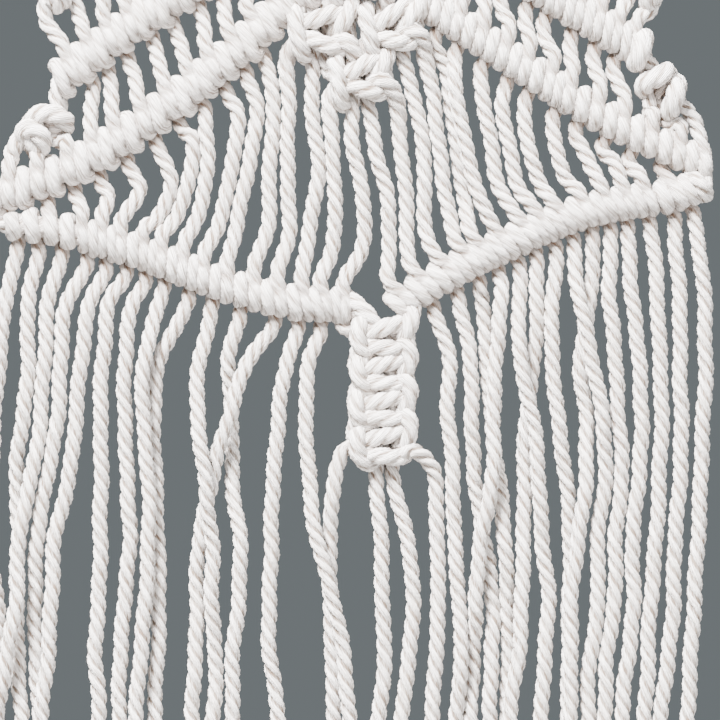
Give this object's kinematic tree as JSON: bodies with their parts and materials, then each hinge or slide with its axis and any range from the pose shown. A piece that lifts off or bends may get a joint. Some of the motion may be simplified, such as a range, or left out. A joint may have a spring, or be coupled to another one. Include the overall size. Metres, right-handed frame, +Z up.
{
  "type": "macrame wall hanging",
  "caption": "Small knotted cotton wall hanging with chevron rows of half hitches, a diamond of square knots, a square-knot sennit and a long cord fringe.",
  "frame": {"origin": "middle of the hanging's top edge, on the plane of the knotted rows", "axes": "+Z up, X across the hanging with +X to the viewer's right, -Y towards the viewer, away from the wall"},
  "size_m": [0.1828, 0.0124, 0.32],
  "materials": {
    "knotted_cotton": "matt natural cotton, three-ply twisted cord in tight hitches and knots",
    "fringe_cotton": "matt natural cotton, three-ply twisted cord hanging free with soft fuzz"
  },
  "bodies": {
    "root": {"knotted_panel": "knotted_cotton", "fringe": "fringe_cotton"}
  },
  "joints": []
}
